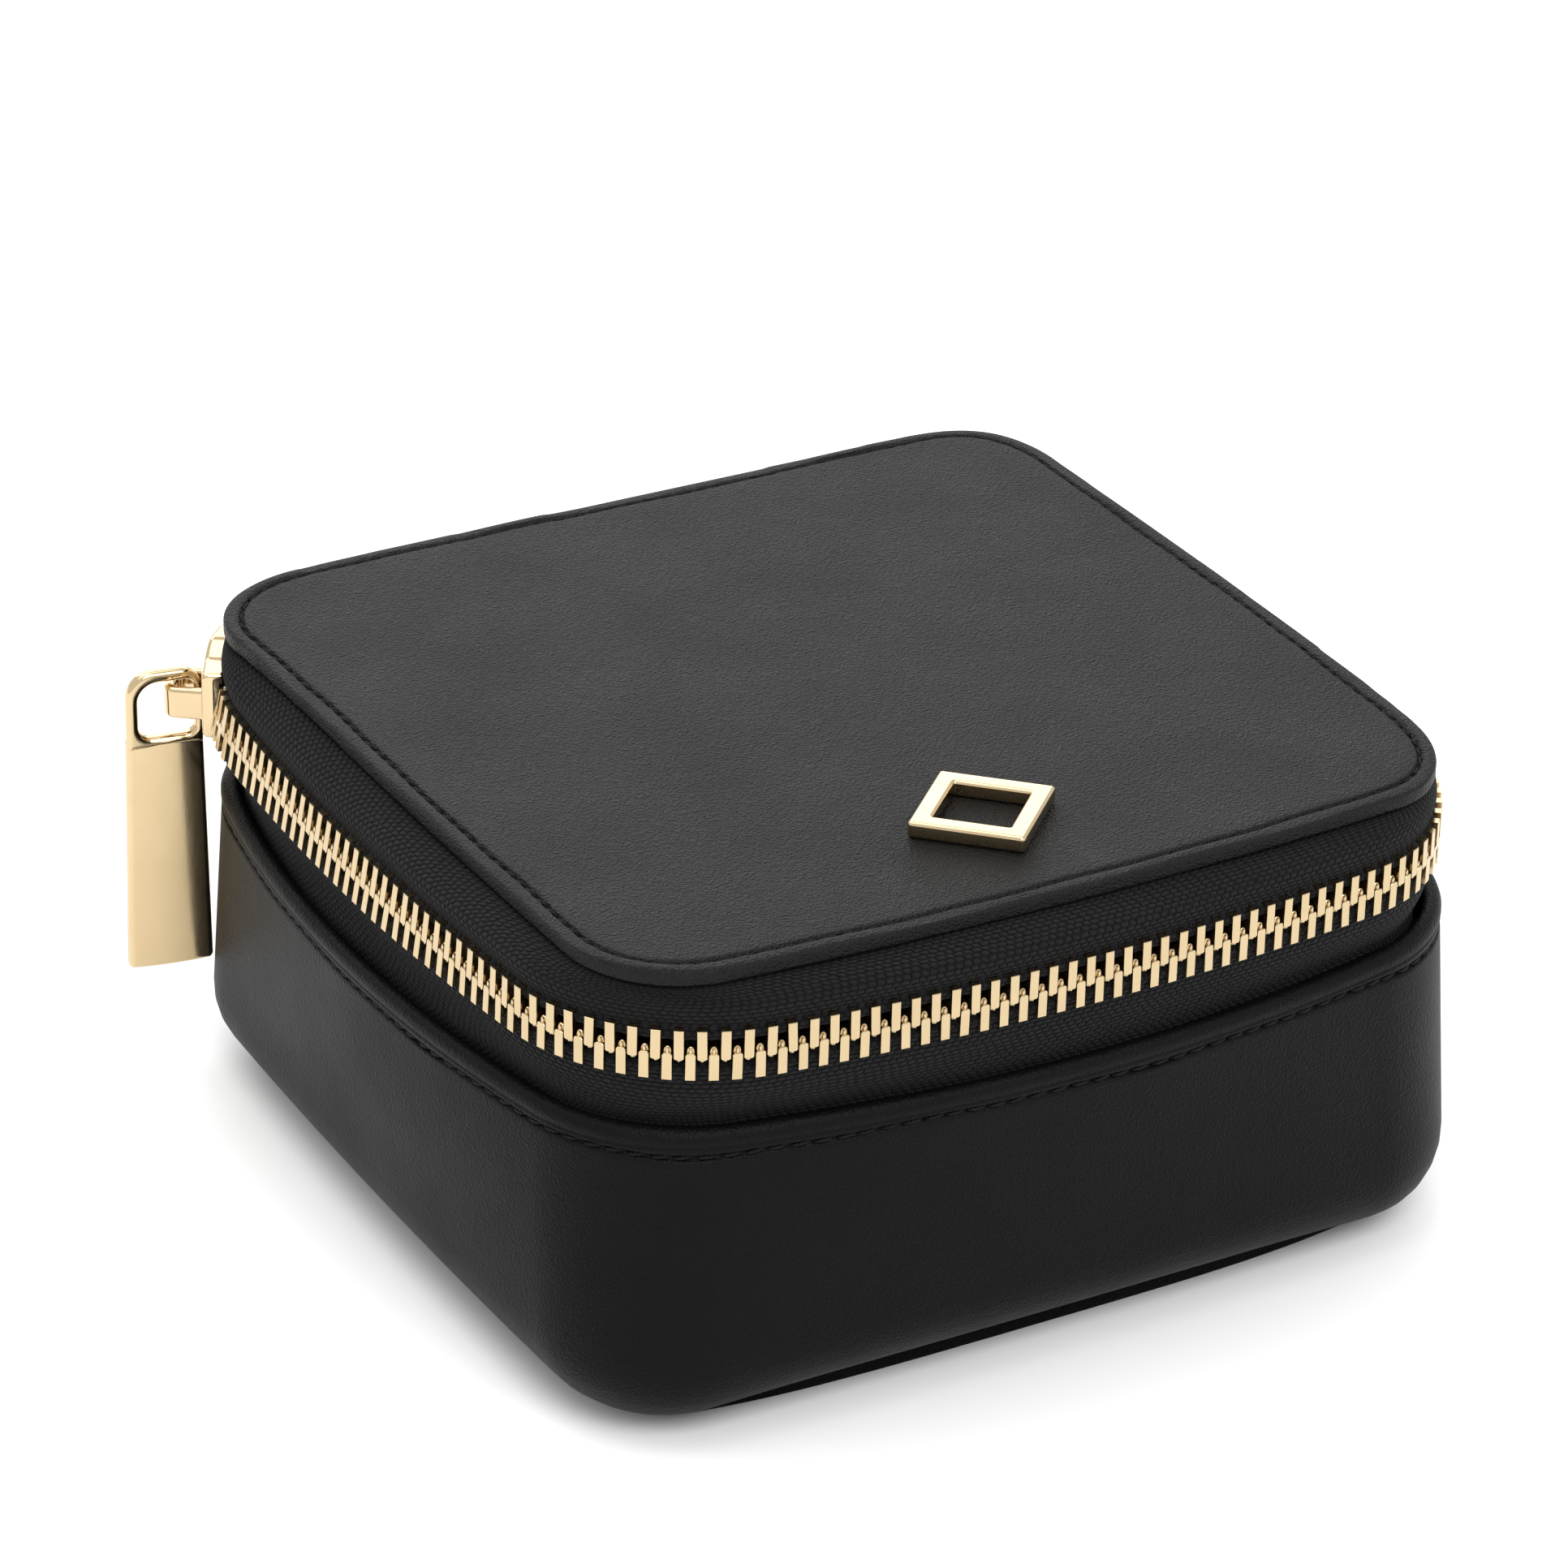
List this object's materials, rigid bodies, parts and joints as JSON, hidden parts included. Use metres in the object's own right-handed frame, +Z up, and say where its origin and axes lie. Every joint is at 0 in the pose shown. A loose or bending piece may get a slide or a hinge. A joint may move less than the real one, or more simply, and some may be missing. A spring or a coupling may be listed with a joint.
{
  "type": "zip-round leather jewellery case",
  "caption": "Small square leather jewellery case with a padded zip-round lid, leather back hinge, hanging pull tab, ring rolls and lined compartments.",
  "frame": {"origin": "centre of the bottom panel's resting face, midway between the sides of the tray", "axes": "+Z up from the resting face, +X to the right along the front, +Y towards the hinge at the back"},
  "size_m": [0.1233, 0.1121, 0.0585],
  "materials": {
    "black_leather": "matte fine-grain leather",
    "board": "matte fibreboard",
    "zip_tape": "woven twill",
    "lining": "short microsuede nap",
    "elastic": "ribbed elastic",
    "pale_gold": "polished pale gold plating"
  },
  "bodies": {
    "base": {"base_bottom_panel": "black_leather", "base_floor_pad": "lining", "base_leather": "black_leather", "base_tray_shell": "board", "base_wall_lining": "lining", "hinge_strip": "black_leather", "partition_cross": "lining", "partition_long": "lining", "ring_roll_1": "lining", "ring_roll_2": "lining", "ring_roll_3": "lining", "ring_roll_4": "lining", "ring_roll_5": "lining", "ring_roll_6": "lining", "ring_roll_7": "lining", "zip_end_stop": "pale_gold", "zip_tape_lower": "zip_tape", "zip_teeth_lower": "pale_gold", "zip_top_stop_lower": "pale_gold"},
    "lid": {"badge": "pale_gold", "badge_clip_left": "pale_gold", "badge_clip_right": "pale_gold", "lid_board": "board", "lid_leather": "black_leather", "lid_lining_pad": "lining", "lid_pocket": "lining", "pocket_elastic": "elastic", "zip_tape_upper": "zip_tape", "zip_teeth_upper": "pale_gold", "zip_top_stop_upper": "pale_gold"},
    "slider": {"slider_body": "pale_gold"},
    "pull_tab": {"pull_tab": "pale_gold"}
  },
  "joints": [
    {"name": "lid_hinge", "type": "hinge", "parent": "base", "child": "lid", "pos_m": [0, 0.0534, 0.0473], "axis": [-1, 0, 0], "range_deg": [0, 110], "deforming": ["hinge_strip", "zip_tape_upper", "zip_tape_lower", "zip_teeth_upper", "zip_teeth_lower", "zip_top_stop_upper", "zip_end_stop"]},
    {"name": "slider_travel", "type": "hinge", "parent": "base", "child": "slider", "pos_m": [-0.0334, 0.0316, 0.0473], "axis": [0, 0, 1], "range_deg": [0, 24], "deforming": ["zip_tape_upper", "zip_tape_lower", "zip_teeth_upper", "zip_teeth_lower"]},
    {"name": "pull_tab_swing", "type": "hinge", "parent": "slider", "child": "pull_tab", "pos_m": [-0.0546, 0.047, 0.0473], "axis": [0, 0, 1], "range_deg": [-111, 59]}
  ]
}
